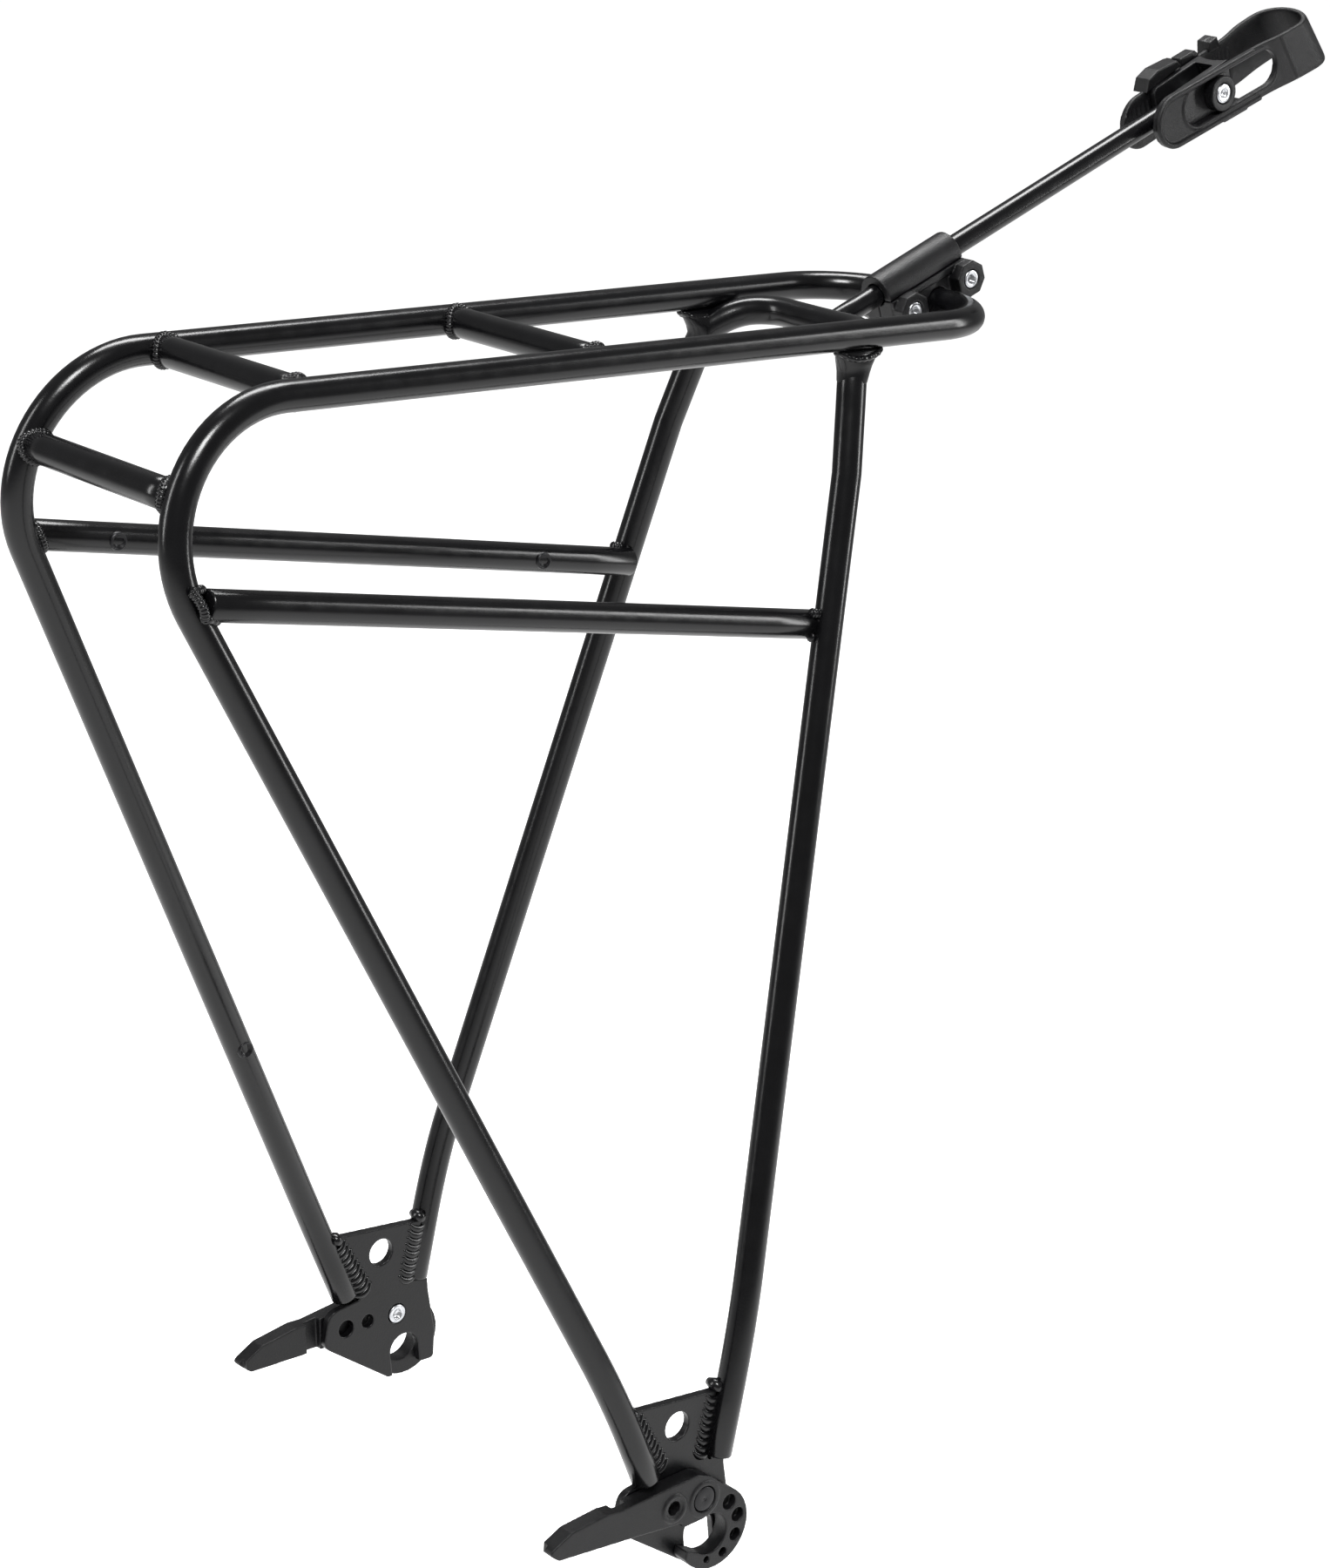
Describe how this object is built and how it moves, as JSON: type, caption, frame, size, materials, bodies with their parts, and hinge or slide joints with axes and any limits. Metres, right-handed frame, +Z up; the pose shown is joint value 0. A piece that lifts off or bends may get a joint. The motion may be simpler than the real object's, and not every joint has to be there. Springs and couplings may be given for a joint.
{
  "type": "rear rack",
  "caption": "Bicycle rear rack of bent tube with latching foot plates and an adjustable strut that straps to the seat tube.",
  "frame": {"origin": "on the axis of the two eyelet bolts that the foot plates hook over, midway between the plates", "axes": "+X towards the front of the bicycle, +Y to its left, +Z up"},
  "size_m": [0.552, 0.1874, 0.513],
  "materials": {
    "powder_coat": "satin black powder coat",
    "plate_coat": "satin black powder coat on flat plate",
    "nylon": "moulded glass-filled nylon, fine grain",
    "strap_rubber": "matt flexible strap",
    "bright_steel": "bright stainless steel",
    "black_steel": "black oxide steel"
  },
  "bodies": {
    "rack": {"main_loop": "powder_coat", "front_hoop": "powder_coat", "cross_tube_rear": "powder_coat", "cross_tube_middle": "powder_coat", "cross_tube_front": "powder_coat", "lower_rail_left": "powder_coat", "lower_rail_right": "powder_coat", "foot_plate_left": "plate_coat", "foot_plate_right": "plate_coat", "pivot_bolt_left": "black_steel", "pivot_bolt_right": "black_steel", "pivot_screw_left": "bright_steel", "pivot_screw_right": "bright_steel", "pivot_washer_left": "black_steel", "pivot_washer_right": "black_steel"},
    "lever_left": {"latch_lever_left": "nylon"},
    "lever_right": {"latch_lever_right": "nylon"},
    "strut_clamp": {"strut_clamp_right": "nylon", "strut_clamp_left": "nylon", "strut_clamp_saddle": "nylon", "clamp_bolt_front": "bright_steel", "clamp_nut_front": "bright_steel", "clamp_bolt_rear": "bright_steel", "clamp_nut_rear": "bright_steel"},
    "strut": {"strut_rod": "powder_coat"},
    "seat_clamp": {"seat_clamp_body": "nylon", "seat_strap": "strap_rubber", "strap_buckle": "nylon", "swivel_boss": "nylon", "swivel_screw": "bright_steel"}
  },
  "joints": [
    {"name": "lever_left_latch", "type": "hinge", "parent": "rack", "child": "lever_left", "pos_m": [-0.0041, 0, 0.0158], "axis": [0, -1, 0], "range_deg": [-4, 42]},
    {"name": "lever_right_latch", "type": "hinge", "parent": "rack", "child": "lever_right", "pos_m": [-0.0041, 0, 0.0158], "axis": [0, -1, 0], "range_deg": [0, 46]},
    {"name": "strut_tilt", "type": "hinge", "parent": "rack", "child": "strut_clamp", "pos_m": [0.1528, 0, 0.4038], "axis": [0, -1, 0], "range_deg": [-30, 40]},
    {"name": "strut_slide", "type": "slide", "parent": "strut_clamp", "child": "strut", "axis": [0.9265, 0, 0.3762], "range_m": [0, 0.014]},
    {"name": "seat_clamp_swivel", "type": "hinge", "parent": "strut", "child": "seat_clamp", "pos_m": [0.29001, 0, 0.47257], "axis": [0, -1, 0], "range_deg": [-20, 20]}
  ]
}
